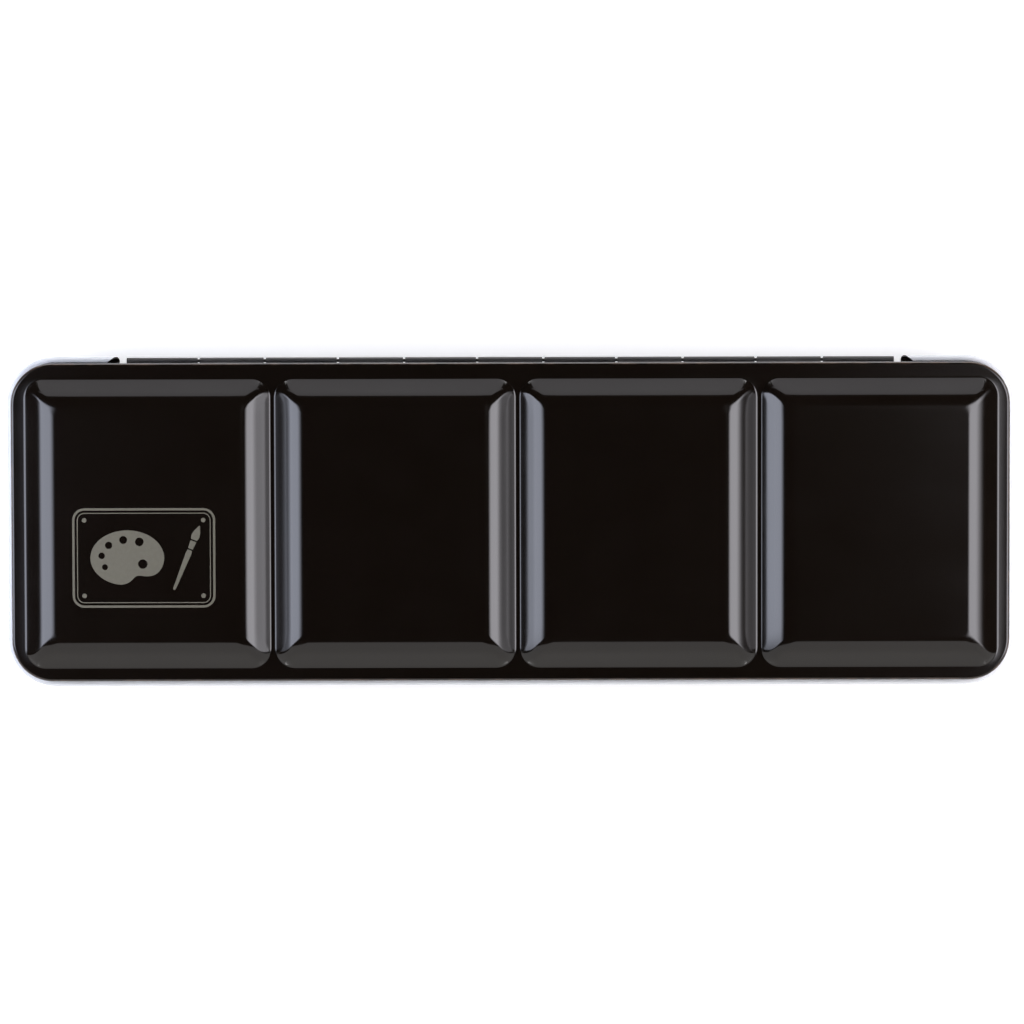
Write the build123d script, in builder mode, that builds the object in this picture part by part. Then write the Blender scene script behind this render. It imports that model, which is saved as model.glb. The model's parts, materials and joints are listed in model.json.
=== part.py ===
from build123d import *

import os
from math import cos, radians, sin, tan

# Watercolour paint box: a long, shallow hinged tin that holds two rows of half pans.
# +X runs along the box, +Y towards the hinge and +Z up. The origin is on the table, under the
# middle of the closed box. All sizes are in millimetres.

# Sheet metal
sheet = 0.3

# Lid, a pressed cap with raised wells and an outward curl along its lower edge
lid_corner = 9.0
lid_edge_radius = 0.9
curl_radius = 0.85
curl_end_angle = 115.0
curl_parting_gap = 0.1
curl_neck = 0.35

# Mixing wells, pressed outwards through the lid. The two on the left are a little wider.
well_widths = (54.0, 52.9, 52.1, 52.1)
well_gap = 0.4
well_side_border = 2.9
well_height = 3.8
well_shift_x = 0.2
well_shift_y = -0.2
well_flank_angle = 37.0
well_foot_radius = 0.9
well_crown_radius = 6.0
well_foot_corner = 5.0
well_crown_corner = 1.2
foot_steps = 3
crown_steps = 5

# Base, a pressed tray whose wall stands inside the skirt of the lid
skirt_clearance = 0.35
rim_clearance = 0.3
rim_round = 0.25
hem_height = 1.8
base_edge_radius = 1.0
foot_width = 2.6
foot_flank_run = 0.8
foot_bend_radius = 0.5

# Hinge between lid and base, a row of rolled knuckles on one wire
open_lid_table_gap = 0.2
curl_swing_clearance = 0.25
pin_radius = 0.35
pin_clearance = 0.05
base_knuckle_width = 16.0
lid_knuckle_width = 14.5
lid_knuckle_count = 5
knuckle_gap = 0.5
knuckle_slit = 0.15
hinge_end_gap = 1.25

# Half pans and the paint cast in them
pan_gap = 0.3
pan_length = 19.2
pan_width = 16.0
pan_height = 10.6
pan_wall = 1.0
pan_floor = 1.0
pan_corner = 1.5
pan_draft = 3.0
pan_lip = 0.15
pan_lip_height = 0.8
paint_gap = 0.03
paint_below_rim = 1.3

# Clip rails that hold the pans in two rows, with the brush channel between them
rail_sheet = 0.3
rail_end = 0.3
clip_width = 9.0
clip_foot_gap = 0.8
clip_waist_gap = 0.08
clip_waist_height = 6.0
clip_lip_run = 0.4
clip_lip_rise = 1.4
brush_channel_width = 22.1
rail_end_room = 7.9
rail_side_room = 2.41
rim_above_pans = 3.1

# Thumb ring under the base, with the riveted strap that holds it
ring_wire_radius = 0.8
ring_width = 24.0
ring_side = 5.0
ring_corner = 3.0
ring_gap = 0.1
strap_sheet = 0.4
strap_side_gap = 3.0
strap_table_gap = 0.1
rivet_radius = 0.8
rivet_head_radius = 1.4
rivet_head_height = 0.6
rivet_head_round = 0.4
rivet_head_margin = 1.1
rivet_rail_gap = 0.5
rivet_fit = 0.02

# The paints of the back row and the front row, from left to right
back_row_paints = (
    "lemon_yellow",
    "cadmium_yellow",
    "indian_yellow",
    "bright_orange",
    "vermilion_red",
    "carmine",
    "rose_madder",
    "magenta",
    "violet",
    "ultramarine",
    "cobalt_blue",
    "prussian_blue",
)
front_row_paints = (
    "titanium_white",
    "naples_yellow",
    "yellow_ochre",
    "raw_sienna",
    "burnt_sienna",
    "burnt_umber",
    "olive_green",
    "sap_green",
    "emerald_green",
    "turquoise",
    "neutral_grey",
    "ivory_black",
)

pan_count = len(back_row_paints)

# Strap of the thumb ring, and the recess that keeps both off the table
strap_bore = ring_wire_radius + ring_gap
strap_loop_radius = strap_bore + strap_sheet
strap_foot = 2 * (rivet_head_radius + rivet_head_margin)
strap_width = ring_width - 2 * (ring_corner + strap_side_gap)
rivet_rows = 2 * strap_loop_radius + strap_foot
rivet_columns = strap_width - strap_foot
floor_recess = strap_table_gap + strap_sheet + 2 * strap_bore
floor_z = floor_recess + sheet
ring_pivot_z = floor_recess - strap_bore

# Seats of the pans, and the rails round them
pan_pitch = pan_width + 2 * pan_lip + pan_gap
pan_taper = tan(radians(pan_draft))
pan_seat_z = floor_z + rail_sheet
pan_rim_z = pan_seat_z + pan_height
clip_foot_y = pan_length / 2 - pan_height * pan_taper + clip_foot_gap
clip_waist_y = pan_length / 2 - (pan_height - clip_waist_height) * pan_taper + clip_waist_gap
rail_length = pan_count * pan_pitch + 2 * rail_end
rail_half_width = clip_foot_y + rail_sheet
row_offset = brush_channel_width / 2 + rail_half_width
rivet_reach = rivet_rows / 2 + rivet_head_radius + rivet_rail_gap
ring_pivot_y = rivet_reach - brush_channel_width / 2

# The base holds both rails, and the lid goes over the base
base_length = rail_length + 2 * (rail_end_room + sheet)
base_depth = brush_channel_width + 4 * rail_half_width + 2 * (rail_side_room + sheet)
base_half_y = base_depth / 2
base_rim_z = pan_rim_z + rim_above_pans
base_inset = sheet + skirt_clearance
base_corner = lid_corner - base_inset
lid_length = base_length + 2 * base_inset
lid_depth = base_depth + 2 * base_inset
lid_half_x = lid_length / 2
lid_half_y = lid_depth / 2
lid_plate_z = base_rim_z + rim_clearance + sheet

# Rise and run of a well's side from its foot to its flat crown, and the size of the wells
flank = radians(well_flank_angle)
bend_rise = (well_foot_radius + well_crown_radius) * (1 - cos(flank))
bend_run = (well_foot_radius + well_crown_radius) * sin(flank)
well_side_run = bend_run + (well_height - bend_rise) / tan(flank)
well_block = sum(well_widths) + (len(well_widths) - 1) * well_gap
well_depth = lid_depth - 2 * well_side_border

# Hinge line. The opened lid clears the table, and its curl then lies just behind the base.
knuckle_bore = pin_radius + pin_clearance
knuckle_radius = knuckle_bore + sheet
curl_reach = 2 * curl_radius - sheet
hinge_y = (base_half_y + curl_swing_clearance + lid_half_y + curl_reach) / 2
hinge_z = (lid_plate_z + well_height + open_lid_table_gap) / 2
knuckle_pitch = base_knuckle_width + lid_knuckle_width
hinge_half_span = (lid_knuckle_count * knuckle_pitch + base_knuckle_width) / 2
curl_z = hinge_z + curl_parting_gap + curl_radius
skirt_edge_z = curl_z + curl_neck
curl_start_x = hinge_half_span + hinge_end_gap


def write(piece, name):
    """Labels one finished piece and writes it under its own name."""
    piece.part.label = name
    export_step(piece.part, f"parts/{name}.step")


def well_profile(inset):
    """Steps (run, rise) up a well's side, on its outer face or on the face that lies inset in the sheet."""
    foot = well_foot_radius + inset
    crown = well_crown_radius - inset
    crown_centre = well_height - well_crown_radius
    steps = []
    for i in range(foot_steps + 1):
        angle = flank * i / foot_steps
        steps.append((foot * sin(angle), well_foot_radius - foot * cos(angle)))
    for i in range(crown_steps + 1):
        angle = flank * (1 - i / crown_steps)
        steps.append((well_side_run - crown * sin(angle), crown_centre + crown * cos(angle)))
    return steps


def make_well(centre_x, width, inset):
    """One well as a solid, lofted through rounded rectangles stacked up its sides."""
    corner_fall = (well_foot_corner - well_crown_corner) / well_side_run
    with BuildPart() as well:
        for run, rise in well_profile(inset):
            with BuildSketch(Plane.XY.offset(lid_plate_z + rise)):
                with Locations((centre_x, well_shift_y)):
                    RectangleRounded(
                        width - 2 * run,
                        well_depth - 2 * run,
                        well_foot_corner - corner_fall * run,
                    )
        loft(ruled=True)
    return well.part


def make_wells(inset):
    """All wells side by side along the lid."""
    left = well_shift_x - well_block / 2
    wells = []
    for width in well_widths:
        wells.append(make_well(left + width / 2, width, inset))
        left += width + well_gap
    return wells


def make_knuckle(left, width, side, neck_end):
    """One rolled knuckle, whose strip passes under the wire for side -1 and over it for side 1."""
    neck_v = side * (knuckle_bore + sheet / 2)
    slit_v = side * (knuckle_bore - knuckle_slit / 2)
    with BuildPart() as knuckle:
        with BuildSketch(Plane((left, hinge_y, hinge_z), x_dir=(0, 1, 0), z_dir=(1, 0, 0))):
            Circle(knuckle_radius)
            Circle(knuckle_bore, mode=Mode.SUBTRACT)
            with Locations((-knuckle_radius / 2, slit_v)):
                Rectangle(knuckle_radius, knuckle_slit, mode=Mode.SUBTRACT)
            with Locations((-neck_end / 2, neck_v)):
                Rectangle(neck_end, sheet)
        extrude(amount=width)
    return knuckle.part


def make_base_knuckles():
    """The wide knuckles of the base, one at each end and one between each two of the lid."""
    left = -hinge_half_span + knuckle_gap / 2
    width = base_knuckle_width - knuckle_gap
    reach = hinge_y - base_half_y + sheet / 2
    return [
        make_knuckle(left + i * knuckle_pitch, width, -1, reach)
        for i in range(lid_knuckle_count + 1)
    ]


def make_lid_knuckles():
    """The narrower knuckles of the lid, each hung from the skirt by a strip of the same sheet."""
    left = -hinge_half_span + base_knuckle_width + knuckle_gap / 2
    width = lid_knuckle_width - knuckle_gap
    reach = hinge_y - lid_half_y + sheet
    knuckles = []
    for i in range(lid_knuckle_count):
        start = left + i * knuckle_pitch
        knuckles.append(make_knuckle(start, width, 1, reach))
        with BuildPart() as hanger:
            with BuildSketch(Plane.XY.offset(hinge_z + knuckle_bore)):
                with Locations((start, lid_half_y - sheet)):
                    Rectangle(width, sheet, align=(Align.MIN, Align.MIN))
            extrude(amount=skirt_edge_z + sheet - hinge_z - knuckle_bore)
        knuckles.append(hanger.part)
    return knuckles


def make_frustum(length, depth, corner, bottom_z, top_z, run, top_round):
    """A rounded rectangular plateau whose sides lean in by run, with its top edge rounded."""
    with BuildPart() as frustum:
        with BuildSketch(Plane.XY.offset(bottom_z)):
            RectangleRounded(length, depth, corner)
        with BuildSketch(Plane.XY.offset(top_z)):
            RectangleRounded(length - 2 * run, depth - 2 * run, corner - run)
        loft()
        fillet(frustum.edges().group_by(Axis.Z)[-1], top_round)
    return frustum.part


def make_pan_block(inset, bottom_z, top_z):
    """The tapered outer shape of a pan between two heights over its foot, drawn in by inset."""
    with BuildPart() as block:
        for height in (bottom_z, top_z):
            shrink = 2 * (inset + (pan_height - height) * pan_taper)
            with BuildSketch(Plane.XY.offset(height)):
                RectangleRounded(pan_width - shrink, pan_length - shrink, pan_corner - inset)
        loft()
    return block.part


os.makedirs("parts", exist_ok=True)

# Hollow of the cap, with the bend of its edge followed on the inside
with BuildPart() as cap_hollow:
    with BuildSketch(Plane.XY.offset(skirt_edge_z)):
        RectangleRounded(lid_length - 2 * sheet, lid_depth - 2 * sheet, lid_corner - sheet)
    extrude(amount=lid_plate_z - sheet - skirt_edge_z)
    fillet(cap_hollow.edges().group_by(Axis.Z)[-1], lid_edge_radius - sheet)

# Skirt end and outward curl, round the lid from one end of the hinge to the other
with BuildPart() as rolled_edge:
    arc_x = lid_half_x - lid_corner
    arc_y = lid_half_y - lid_corner
    with BuildLine(Plane.XY.offset(curl_z)) as edge_path:
        Line((-curl_start_x, lid_half_y), (-arc_x, lid_half_y))
        CenterArc((-arc_x, arc_y), lid_corner, 90, 90)
        Line((-lid_half_x, arc_y), (-lid_half_x, -arc_y))
        CenterArc((-arc_x, -arc_y), lid_corner, 180, 90)
        Line((-arc_x, -lid_half_y), (arc_x, -lid_half_y))
        CenterArc((arc_x, -arc_y), lid_corner, 270, 90)
        Line((lid_half_x, -arc_y), (lid_half_x, arc_y))
        CenterArc((arc_x, arc_y), lid_corner, 0, 90)
        Line((arc_x, lid_half_y), (curl_start_x, lid_half_y))
    # Local X points away from the skirt, local Y up
    with BuildSketch(Plane((-curl_start_x, lid_half_y, curl_z), x_dir=(0, 1, 0), z_dir=(1, 0, 0))):
        with BuildLine():
            roll_centre = curl_radius - sheet
            inner = CenterArc((roll_centre, 0), curl_radius - sheet, 180, 180 + curl_end_angle)
            outer = CenterArc((roll_centre, 0), curl_radius, 180, 180 + curl_end_angle)
            Line(inner @ 1, outer @ 1)
            Line(inner @ 0, (0, skirt_edge_z - curl_z))
            Line((0, skirt_edge_z - curl_z), (-sheet, skirt_edge_z - curl_z))
            Line((-sheet, skirt_edge_z - curl_z), outer @ 0)
        make_face()
    sweep(path=edge_path.line)

outer_wells = make_wells(0)
inner_wells = make_wells(sheet)
lid_knuckles = make_lid_knuckles()

with BuildPart() as lid:
    with BuildSketch(Plane.XY.offset(skirt_edge_z)):
        RectangleRounded(lid_length, lid_depth, lid_corner)
    extrude(amount=lid_plate_z - skirt_edge_z)
    fillet(lid.edges().group_by(Axis.Z)[-1], lid_edge_radius)
    add(outer_wells)
    add(cap_hollow.part, mode=Mode.SUBTRACT)
    add(inner_wells, mode=Mode.SUBTRACT)
    add(rolled_edge.part)
    add(lid_knuckles)
write(lid, "lid")

# Hollow of the tray, narrower at the top where the edge is hemmed inwards
with BuildPart() as tray_hollow:
    with BuildSketch(Plane.XY.offset(sheet)):
        RectangleRounded(base_length - 2 * sheet, base_depth - 2 * sheet, base_corner - sheet)
    extrude(amount=base_rim_z - hem_height - sheet)
    fillet(tray_hollow.edges().group_by(Axis.Z)[0], base_edge_radius - sheet)
    with BuildSketch(Plane.XY.offset(base_rim_z - hem_height)):
        RectangleRounded(base_length - 4 * sheet, base_depth - 4 * sheet, base_corner - 2 * sheet)
    extrude(amount=hem_height)

# Raised floor, with the foot left standing all round it
recess_length = base_length - 2 * foot_width
recess_depth = base_depth - 2 * foot_width
recess_corner = base_corner - foot_width
floor_rise = make_frustum(
    recess_length + 2 * sheet,
    recess_depth + 2 * sheet,
    recess_corner + sheet,
    sheet / 2,
    floor_z,
    foot_flank_run,
    foot_bend_radius + sheet,
)
recess = make_frustum(
    recess_length,
    recess_depth,
    recess_corner,
    0,
    floor_recess,
    foot_flank_run,
    foot_bend_radius,
)
base_knuckles = make_base_knuckles()

with BuildPart() as base:
    with BuildSketch():
        RectangleRounded(base_length, base_depth, base_corner)
    extrude(amount=base_rim_z)
    fillet(base.edges().group_by(Axis.Z)[0], base_edge_radius)
    add(tray_hollow.part, mode=Mode.SUBTRACT)
    fillet(base.edges().group_by(Axis.Z)[-1], rim_round)
    add(floor_rise)
    add(recess, mode=Mode.SUBTRACT)
    add(base_knuckles)
    # Holes for the rivets of the strap
    with BuildSketch(Plane.XY.offset(floor_recess)):
        with Locations((0, ring_pivot_y)):
            with GridLocations(rivet_columns, rivet_rows, 2, 2):
                Circle(rivet_radius + rivet_fit)
    extrude(amount=sheet, mode=Mode.SUBTRACT)
write(base, "base")

with BuildPart() as lid_hinge_pin:
    pin_length = 2 * hinge_half_span - knuckle_gap
    with BuildSketch(Plane((-pin_length / 2, hinge_y, hinge_z), x_dir=(0, 1, 0), z_dir=(1, 0, 0))):
        Circle(pin_radius)
    extrude(amount=pin_length)
write(lid_hinge_pin, "lid_hinge_pin")


def make_rail(row_y):
    """One rail: a floor strip with a sprung clip on both sides of every pan."""
    first_x = -(pan_count - 1) * pan_pitch / 2
    waist_z = rail_sheet + clip_waist_height
    lip_y = clip_waist_y + clip_lip_run
    lip_z = waist_z + clip_lip_rise
    with BuildPart() as rail:
        with BuildSketch(Plane.XY.offset(floor_z)):
            with Locations((0, row_y)):
                Rectangle(rail_length, 2 * rail_half_width)
        extrude(amount=rail_sheet)
        for i in range(pan_count):
            left = first_x + i * pan_pitch - clip_width / 2
            with BuildSketch(Plane((left, row_y, floor_z), x_dir=(0, 1, 0), z_dir=(1, 0, 0))):
                with BuildLine():
                    Polyline(
                        (clip_foot_y, 0),
                        (clip_foot_y, rail_sheet),
                        (clip_waist_y, waist_z),
                        (lip_y, lip_z),
                        (lip_y + rail_sheet, lip_z),
                        (clip_waist_y + rail_sheet, waist_z),
                        (rail_half_width, rail_sheet),
                        (rail_half_width, 0),
                        close=True,
                    )
                make_face()
                mirror(about=Plane.YZ)
            extrude(amount=clip_width)
    return rail


write(make_rail(row_offset), "pan_rail_back")
write(make_rail(-row_offset), "pan_rail_front")

# One half pan, standing on its own foot
with BuildPart() as half_pan:
    add(make_pan_block(0, 0, pan_height))
    with BuildSketch(Plane.XY.offset(pan_height - pan_lip_height)):
        RectangleRounded(pan_width + 2 * pan_lip, pan_length + 2 * pan_lip, pan_corner + pan_lip)
    extrude(amount=pan_lip_height)
    add(make_pan_block(pan_wall, pan_floor, pan_height), mode=Mode.SUBTRACT)

# The cake of paint in it, cast up to just below the rim
with BuildPart() as paint_cake:
    add(make_pan_block(pan_wall + paint_gap, pan_floor, pan_height - paint_below_rim))


def place(piece, pan_x, row_y):
    """A copy of a pan or a cake on its seat in a rail."""
    with BuildPart() as placed:
        with Locations((pan_x, row_y, pan_seat_z)):
            add(piece.part)
    return placed


for row_number, paints in enumerate((back_row_paints, front_row_paints)):
    row_y = row_offset * (1 - 2 * row_number)
    for i in range(pan_count):
        pan_x = (i - (pan_count - 1) / 2) * pan_pitch
        pan_number = row_number * pan_count + i + 1
        write(place(half_pan, pan_x, row_y), f"half_pan_{pan_number:02d}")
        write(place(paint_cake, pan_x, row_y), f"paint_{paints[i]}")

with BuildPart() as thumb_ring:
    half_width = ring_width / 2
    bar_half = half_width - ring_corner
    arc_centre_y = ring_pivot_y + ring_corner + ring_side
    with BuildLine(Plane.XY.offset(ring_pivot_z)) as ring_path:
        Line((0, ring_pivot_y), (bar_half, ring_pivot_y))
        CenterArc((bar_half, ring_pivot_y + ring_corner), ring_corner, 270, 90)
        Line((half_width, ring_pivot_y + ring_corner), (half_width, arc_centre_y))
        CenterArc((0, arc_centre_y), half_width, 0, 180)
        Line((-half_width, arc_centre_y), (-half_width, ring_pivot_y + ring_corner))
        CenterArc((-bar_half, ring_pivot_y + ring_corner), ring_corner, 180, 90)
        Line((-bar_half, ring_pivot_y), (0, ring_pivot_y))
    with BuildSketch(Plane((0, ring_pivot_y, ring_pivot_z), x_dir=(0, 1, 0), z_dir=(1, 0, 0))):
        Circle(ring_wire_radius)
    sweep(path=ring_path.line)
write(thumb_ring, "thumb_ring")

with BuildPart() as thumb_ring_strap:
    with BuildSketch(Plane((-strap_width / 2, ring_pivot_y, ring_pivot_z), (0, 1, 0), (1, 0, 0))):
        Circle(strap_loop_radius)
        with Locations((0, strap_bore)):
            Rectangle(
                2 * strap_loop_radius,
                strap_loop_radius,
                align=(Align.CENTER, Align.MIN),
                mode=Mode.SUBTRACT,
            )
        with Locations((0, strap_bore - strap_sheet / 2)):
            Rectangle(2 * (strap_loop_radius + strap_foot), strap_sheet)
        Circle(strap_bore, mode=Mode.SUBTRACT)
        with Locations((0, strap_bore)):
            Rectangle(strap_bore, strap_bore, mode=Mode.SUBTRACT)
    extrude(amount=strap_width)
    with BuildSketch(Plane.XY.offset(floor_recess)):
        with Locations((0, ring_pivot_y)):
            with GridLocations(rivet_columns, rivet_rows, 2, 2):
                Circle(rivet_radius + rivet_fit)
    extrude(amount=-strap_sheet, mode=Mode.SUBTRACT)
write(thumb_ring_strap, "thumb_ring_strap")

# One rivet, with a head under the strap and another on the floor inside the box
with BuildPart() as rivet:
    with BuildSketch(Plane.XY.offset(floor_recess - strap_sheet)):
        Circle(rivet_head_radius)
    extrude(amount=-rivet_head_height)
    fillet(rivet.edges().group_by(Axis.Z)[0], rivet_head_round)
    with BuildSketch(Plane.XY.offset(floor_z)):
        Circle(rivet_head_radius)
    extrude(amount=rivet_head_height)
    fillet(rivet.edges().group_by(Axis.Z)[-1], rivet_head_round)
    with BuildSketch(Plane.XY.offset(floor_recess - strap_sheet)):
        Circle(rivet_radius)
    extrude(amount=strap_sheet + sheet)

with BuildPart() as strap_rivets:
    with Locations((0, ring_pivot_y)):
        with GridLocations(rivet_columns, rivet_rows, 2, 2):
            add(rivet.part)
write(strap_rivets, "strap_rivets")
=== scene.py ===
"""Looks of a closed watercolour paint box: a black enamelled tin with four raised wells in its lid."""

import json
import math
import random

import bmesh
import bpy
from mathutils import Matrix, Vector
from mathutils.geometry import tessellate_polygon


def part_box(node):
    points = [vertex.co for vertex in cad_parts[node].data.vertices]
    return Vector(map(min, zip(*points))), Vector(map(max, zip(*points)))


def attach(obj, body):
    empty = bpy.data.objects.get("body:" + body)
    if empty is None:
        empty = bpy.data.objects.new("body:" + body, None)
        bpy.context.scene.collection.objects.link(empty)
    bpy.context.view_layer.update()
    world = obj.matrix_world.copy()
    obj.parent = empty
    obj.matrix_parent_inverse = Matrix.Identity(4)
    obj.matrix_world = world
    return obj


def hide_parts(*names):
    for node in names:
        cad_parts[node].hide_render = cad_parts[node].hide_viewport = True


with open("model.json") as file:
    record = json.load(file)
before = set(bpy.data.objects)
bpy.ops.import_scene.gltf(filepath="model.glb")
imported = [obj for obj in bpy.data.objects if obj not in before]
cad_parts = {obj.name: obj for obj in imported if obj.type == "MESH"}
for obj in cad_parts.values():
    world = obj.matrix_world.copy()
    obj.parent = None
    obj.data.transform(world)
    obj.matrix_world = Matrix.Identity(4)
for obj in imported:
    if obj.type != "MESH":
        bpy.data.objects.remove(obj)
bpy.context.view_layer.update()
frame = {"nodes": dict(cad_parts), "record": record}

MM = 0.001

# Sheet metal of the lid and the base
SHEET = 0.3 * MM
SKIRT_CLEARANCE = 0.35 * MM

# Lid, with its wells and the curl along its edge
LID_CORNER = 9.0 * MM
LID_EDGE_RADIUS = 0.65 * MM
CURL_RADIUS = 0.85 * MM
CURL_REACH = 2 * CURL_RADIUS - SHEET
CURL_END_ANGLE = math.radians(115)
CURL_PARTING_GAP = 0.1 * MM
CURL_NECK = 0.35 * MM
CURL_END_TRIM = 2.6 * MM
CURL_TRIM_CURVE = 1.6
CURL_TRIM_ROOM = 1.4 * CURL_END_TRIM
WELL_WIDTHS = (54.0 * MM, 52.9 * MM, 52.1 * MM, 52.1 * MM)
WELL_GAP = 0.4 * MM
WELL_SIDE_BORDER = 2.9 * MM
WELL_HEIGHT = 3.8 * MM
WELL_SINK = 0.02 * MM
WELL_SHIFT_X = 0.2 * MM
WELL_SHIFT_Y = -0.2 * MM
WELL_FLANK = math.radians(36.8)
WELL_STEEPEST = math.radians(38.4)
WELL_SHOULDER = math.radians(35.8)
WELL_FOOT_RADIUS = 0.9 * MM
WELL_EASE_RADIUS = 18.0 * MM
WELL_CROWN_RADIUS = 6.25 * MM
WELL_FOOT_CORNER = 4.8 * MM
WELL_CROWN_CORNER = 1.5 * MM
WELL_CORNER_RUN = 3.4 * MM

# Depths below the lid's plate between which the brown painted on its edge radius, a painted tint of the
# edge's highlight, is strongest
EDGE_HIGHLIGHT_TINT_FROM = 0.12 * MM
EDGE_HIGHLIGHT_TINT_TO = 0.2 * MM

# Base
BASE_EDGE_RADIUS = 1.0 * MM
FOOT_WIDTH = 2.6 * MM
FOOT_FLANK_RUN = 0.8 * MM
FOOT_BEND_RADIUS = 0.5 * MM
FOOT_SLANT = 0.95 * SHEET
FOOT_EDGE_RADIUS = 0.4 * MM
FOOT_HOLLOW_RADIUS = 0.3 * MM
HEM_HEIGHT = 1.8 * MM
HEM_RADIUS = 0.9 * SHEET
FLOOR_RECESS = 2.3 * MM
FLOOR_LEDGE = 1.5 * MM

# Hinge
PIN_CLEARANCE = 0.05 * MM
BASE_KNUCKLE_WIDTH = 16.0 * MM
LID_KNUCKLE_WIDTH = 14.5 * MM
LID_KNUCKLE_COUNT = 5
KNUCKLE_GAP = 0.5 * MM
KNUCKLE_END_ANGLE = math.radians(205)
HINGE_END_GAP = 1.25 * MM
HANGER_BEND = 0.3 * MM

# Half pans and paint
PAN_CORNER = 1.5 * MM
PAN_WALL = 1.0 * MM
PAN_FLOOR = 1.0 * MM
PAN_LIP = 0.15 * MM
PAN_LIP_HEIGHT = 0.8 * MM
PAN_DRAFT = math.radians(3)
PAN_FOOT_RADIUS = 0.35 * MM
PAN_FOOT_LEDGE = 1.0 * MM
PAN_LIP_HOLLOW = 0.05 * MM
PAN_LIP_RADIUS = 0.08 * MM
PAN_RIM_RADIUS = 0.25 * MM
PAN_INNER_RADIUS = 0.5 * MM
PAN_INNER_LEDGE = 0.8 * MM
CAKE_CORNER = 0.9 * MM
CAKE_ROOM = 0.06 * MM
CAKE_TILT = 0.01
CAKE_DIP_SHIFT = 0.25
CAKE_DIP = (0.15 * MM, 0.4 * MM)
PAINT_MENISCUS = 0.45 * MM
PAINT_MENISCUS_REACH = 0.5 * MM

# Thumb ring and strap
RING_WIRE_RADIUS = 0.8 * MM
RING_CORNER = 3.0 * MM
RING_SIDE = 5.0 * MM
RING_GAP = 0.1 * MM
STRAP_SHEET = 0.4 * MM
STRAP_KINK = 0.35 * MM
RIVET_HEAD_RADIUS = 1.4 * MM
RIVET_HEAD_HEIGHT = 0.6 * MM

# Print on the first well, about its own middle
PRINT_PLACE = (-79.5 * MM, -7.5 * MM)
PRINT_FILM = 0.006 * MM
PRINT_FRAME = (15.5 * MM, 10.8 * MM)
PRINT_FRAME_CORNER = 2.6 * MM
PRINT_FRAME_LINES = ((0.0, 0.5 * MM), (1.0 * MM, 0.2 * MM))
PRINT_DOT_INSET = 2.6 * MM
PRINT_DOT_RADIUS = 0.5 * MM
PRINT_LIFT = 0.002 * MM
PALETTE_PLACE = (-3.6 * MM, 0.0)
PALETTE_HALF = (8.0 * MM, 6.0 * MM)
PALETTE_SPOTS = 5
THUMB_DENT = 0.30
THUMB_DENT_PLACE = math.radians(292)
THUMB_DENT_WIDTH = 0.34
BRUSH_PLACE = (9.3 * MM, 0.0)
BRUSH_LENGTH = 15.0 * MM
BRUSH_TURN = math.radians(-22)

# Extents that the frame gives
lid_low, lid_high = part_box("lid")
base_low, base_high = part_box("base")
pin_low, pin_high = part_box("lid_hinge_pin")
ring_low, ring_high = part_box("thumb_ring")
strap_low, strap_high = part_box("thumb_ring_strap")

LID_HALF_X = lid_high.x - CURL_REACH
LID_HALF_Y = -lid_low.y - CURL_REACH
LID_PLATE_Z = lid_high.z - WELL_HEIGHT
HINGE_Y = (pin_low.y + pin_high.y) / 2
HINGE_Z = (pin_low.z + pin_high.z) / 2
PIN_RADIUS = (pin_high.z - pin_low.z) / 2
KNUCKLE_BORE = PIN_RADIUS + PIN_CLEARANCE
CURL_Z = HINGE_Z + CURL_PARTING_GAP + CURL_RADIUS
SKIRT_EDGE_Z = CURL_Z + CURL_NECK
KNUCKLE_PITCH = BASE_KNUCKLE_WIDTH + LID_KNUCKLE_WIDTH
HINGE_HALF_SPAN = (LID_KNUCKLE_COUNT * KNUCKLE_PITCH + BASE_KNUCKLE_WIDTH) / 2
CURL_START_X = HINGE_HALF_SPAN + HINGE_END_GAP
BASE_HALF_X = base_high.x
BASE_HALF_Y = -base_low.y
BASE_CORNER = LID_CORNER - SHEET - SKIRT_CLEARANCE
BASE_RIM_Z = base_high.z

# Mesh steps
CORNER_STEPS = 14
EDGE_STEPS = 8
INNER_EDGE_STEPS = 6
ROLL_STEPS = 26
WELL_CORNER_STEPS = 12
FOOT_STEPS = 6
FLANK_STEPS = 4
EASE_STEPS = 3
CROWN_STEPS = 16
SMALL_CORNER_STEPS = 8
CAKE_CORNER_STEPS = 6
SKIN_STEPS = 14
BOW_STEPS = 40
WIRE_SIDES = 20
STRAP_STEPS = 20
DOME_STEPS = 6
DOME_SIDES = 28
PALETTE_STEPS = 72
WALL_STEPS = 12

# Stops on the straight sides of an outline, along X and along Y
LID_STOPS = (23, 9)
WELL_STOPS = (11, 13)
BASE_STOPS = (19, 7)
PAN_STOPS = (3, 3)
CAKE_STOPS = (7, 7)

# Width of the narrow faces that hold an edge sharp
HOLD = 0.06 * MM

# Material slots of a sheet metal piece
BLACK_FACE = 0
WHITE_FACE = 1
CUT_FACE = 2
HINGE_FACE = 3


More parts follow.
